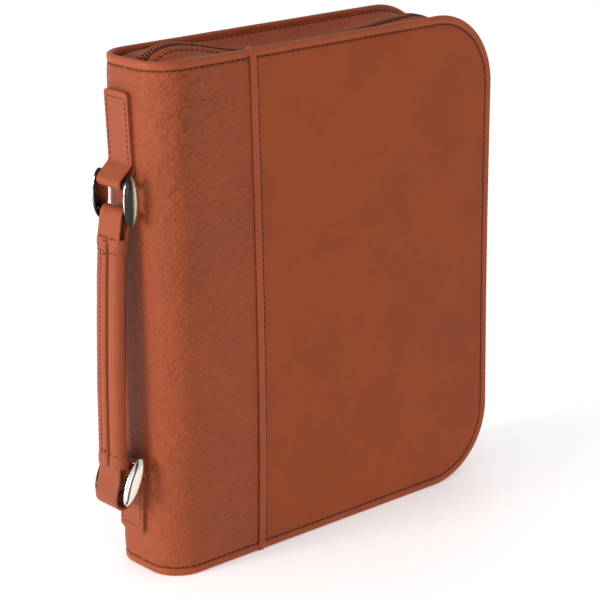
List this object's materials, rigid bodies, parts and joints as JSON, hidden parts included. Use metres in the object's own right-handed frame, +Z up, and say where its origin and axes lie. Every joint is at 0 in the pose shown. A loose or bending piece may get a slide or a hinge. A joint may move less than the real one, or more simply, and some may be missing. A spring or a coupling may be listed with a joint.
{
  "type": "zipped bible cover with bible",
  "caption": "Zip-round leatherette Bible cover with a rounded spine, side carry handle on oval metal links, and the Bible held inside its cover pockets.",
  "frame": {"origin": "centre of the bottom of the object's box, on the floor it stands on", "axes": "+Z up along the spine, -X the spine and handle side, -Y the front cover"},
  "size_m": [0.253, 0.0536, 0.27],
  "materials": {
    "grained_leather": "matt grained leatherette, caramel brown",
    "smooth_leather": "smooth matt leatherette, caramel brown",
    "binding_leather": "rolled leatherette edge",
    "gusset_leather": "soft leatherette zip gusset",
    "handle_leather": "rolled leatherette handle",
    "case_board": "grey board",
    "case_lining": "black woven lining",
    "zip_fabric": "woven zip tape",
    "zip_coil": "nylon coil",
    "zip_metal": "nickel plated zinc",
    "link_metal": "polished nickel",
    "grip_foam": "foam rubber filling",
    "bible_leather": "black grained Bible cover",
    "pages": "thin cream Bible paper",
    "bands": "gold woven head and tail bands",
    "ribbon": "red satin ribbon"
  },
  "bodies": {
    "spine": {"spine_wrap": "grained_leather", "spine_stiffener": "case_board", "spine_lining": "case_lining", "spine_top_binding": "binding_leather", "spine_foot_binding": "binding_leather", "upper_anchor_tab": "grained_leather", "lower_anchor_tab": "grained_leather", "bible_spine": "bible_leather", "text_block_back": "pages", "headband": "bands", "tailband": "bands", "page_block": "pages", "ribbon_bookmark": "ribbon"},
    "front_cover": {"front_wrap": "grained_leather", "front_panel": "smooth_leather", "front_lining": "case_lining", "front_binding": "binding_leather", "front_seam_strip": "grained_leather", "front_board": "case_board", "front_pocket": "gusset_leather", "front_gusset": "gusset_leather", "front_zip_tape": "zip_fabric", "front_zip_coil": "zip_coil", "front_bible_board": "bible_leather"},
    "back_cover": {"back_wrap": "grained_leather", "back_panel": "smooth_leather", "back_lining": "case_lining", "back_binding": "binding_leather", "back_seam_strip": "grained_leather", "back_board": "case_board", "back_pocket": "gusset_leather", "back_gusset": "gusset_leather", "back_zip_tape": "zip_fabric", "back_zip_coil": "zip_coil", "back_bible_board": "bible_leather"},
    "zip_slider": {"zip_slider": "zip_metal"},
    "zip_pull": {"zip_pull": "zip_metal"},
    "upper_link": {"upper_link": "link_metal"},
    "lower_link": {"lower_link": "link_metal"},
    "handle": {"handle_strap": "handle_leather", "grip_cover": "handle_leather", "grip_core": "grip_foam", "grip_collars": "handle_leather"},
    "front_packet_a": {"front_pages_a": "pages"},
    "front_packet_b": {"front_pages_b": "pages"},
    "front_packet_c": {"front_pages_c": "pages"},
    "back_packet_a": {"back_pages_a": "pages"},
    "back_packet_b": {"back_pages_b": "pages"},
    "back_packet_c": {"back_pages_c": "pages"}
  },
  "joints": [
    {"name": "front_cover_hinge", "type": "hinge", "parent": "spine", "child": "front_cover", "pos_m": [-0.10159, -0.02213, 0.135], "axis": [0, 0, -1], "range_deg": [0, 95]},
    {"name": "back_cover_hinge", "type": "hinge", "parent": "spine", "child": "back_cover", "pos_m": [-0.10159, 0.02213, 0.135], "axis": [0, 0, 1], "range_deg": [0, 95]},
    {"name": "zip_slide", "type": "slide", "parent": "front_cover", "child": "zip_slider", "axis": [1, 0, 0], "range_m": [0, 0.14]},
    {"name": "pull_hinge", "type": "hinge", "parent": "zip_slider", "child": "zip_pull", "pos_m": [-0.06846, 0, 0.0028], "axis": [0, 1, 0], "range_deg": [0, 170]},
    {"name": "upper_link_hinge", "type": "hinge", "parent": "spine", "child": "upper_link", "pos_m": [-0.11346, 0, 0.2095], "axis": [0, 1, 0], "range_deg": [0, 85]},
    {"name": "lower_link_hinge", "type": "hinge", "parent": "spine", "child": "lower_link", "pos_m": [-0.11469, 0, 0.06222], "axis": [0, 1, 0], "range_deg": [0, 60.8]},
    {"name": "handle_hinge", "type": "hinge", "parent": "upper_link", "child": "handle", "pos_m": [-0.11346, 0, 0.194], "axis": [0, 1, 0], "range_deg": [-88.4, 0]},
    {"name": "front_packet_a_hinge", "type": "hinge", "parent": "spine", "child": "front_packet_a", "pos_m": [-0.08946, -0.0185, 0.135], "axis": [0, 0, -1], "range_deg": [0, 86]},
    {"name": "front_packet_b_hinge", "type": "hinge", "parent": "spine", "child": "front_packet_b", "pos_m": [-0.08946, -0.01333, 0.135], "axis": [0, 0, -1], "range_deg": [0, 67]},
    {"name": "front_packet_c_hinge", "type": "hinge", "parent": "spine", "child": "front_packet_c", "pos_m": [-0.08946, -0.00817, 0.135], "axis": [0, 0, -1], "range_deg": [0, 38.5]},
    {"name": "back_packet_a_hinge", "type": "hinge", "parent": "spine", "child": "back_packet_a", "pos_m": [-0.08946, 0.0185, 0.135], "axis": [0, 0, 1], "range_deg": [0, 86]},
    {"name": "back_packet_b_hinge", "type": "hinge", "parent": "spine", "child": "back_packet_b", "pos_m": [-0.08946, 0.01333, 0.135], "axis": [0, 0, 1], "range_deg": [0, 67]},
    {"name": "back_packet_c_hinge", "type": "hinge", "parent": "spine", "child": "back_packet_c", "pos_m": [-0.08946, 0.00817, 0.135], "axis": [0, 0, 1], "range_deg": [0, 38.5]}
  ],
  "couplings": [
    {"joint": "lower_link_hinge", "follows": "upper_link_hinge", "ratio": 0.71},
    {"joint": "handle_hinge", "follows": "upper_link_hinge", "ratio": -1.034},
    {"joint": "front_packet_a_hinge", "follows": "front_cover_hinge", "ratio": 0.9},
    {"joint": "front_packet_b_hinge", "follows": "front_cover_hinge", "ratio": 0.7},
    {"joint": "front_packet_c_hinge", "follows": "front_cover_hinge", "ratio": 0.4},
    {"joint": "back_packet_a_hinge", "follows": "back_cover_hinge", "ratio": 0.9},
    {"joint": "back_packet_b_hinge", "follows": "back_cover_hinge", "ratio": 0.7},
    {"joint": "back_packet_c_hinge", "follows": "back_cover_hinge", "ratio": 0.4}
  ]
}
